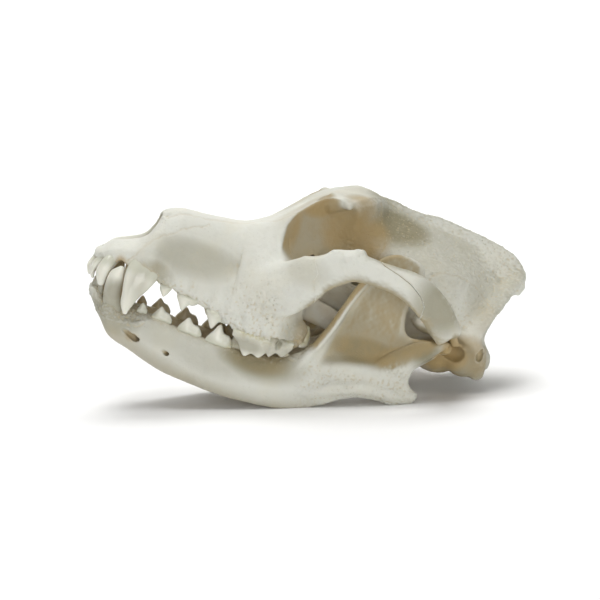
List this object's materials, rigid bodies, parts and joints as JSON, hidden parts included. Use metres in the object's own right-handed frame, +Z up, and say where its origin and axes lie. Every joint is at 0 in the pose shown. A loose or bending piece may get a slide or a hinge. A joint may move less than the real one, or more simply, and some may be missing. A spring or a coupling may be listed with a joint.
{
  "type": "dog skull",
  "caption": "Life-size dog skull with its lower jaw and teeth, lying on the jaw with the mouth nearly closed.",
  "frame": {"origin": "middle of the bounding box, at the floor that the jaw rests on", "axes": "+X from the snout to the back of the head, +Y to the dog's right side, +Z up; the skull is mirrored across the plane y = 0"},
  "size_m": [0.2058, 0.1138, 0.0968],
  "materials": {
    "snout": "dry bleached bone, finely pitted, with smoother ivory teeth",
    "braincase": "dry bleached bone, rough where the jaw muscle grew",
    "cheekbone_left": "dry bleached bone, smooth",
    "cheekbone_right": "dry bleached bone, smooth",
    "temporal_arch_left": "dry bleached bone, slightly greyer",
    "temporal_arch_right": "dry bleached bone, slightly greyer",
    "mandible_left": "dry bleached bone with smoother ivory teeth",
    "mandible_right": "dry bleached bone with smoother ivory teeth"
  },
  "bodies": {
    "root": {"snout": "snout", "braincase": "braincase", "cheekbone_left": "cheekbone_left", "cheekbone_right": "cheekbone_right", "temporal_arch_left": "temporal_arch_left", "temporal_arch_right": "temporal_arch_right", "mandible_left": "mandible_left", "mandible_right": "mandible_right"}
  },
  "joints": []
}
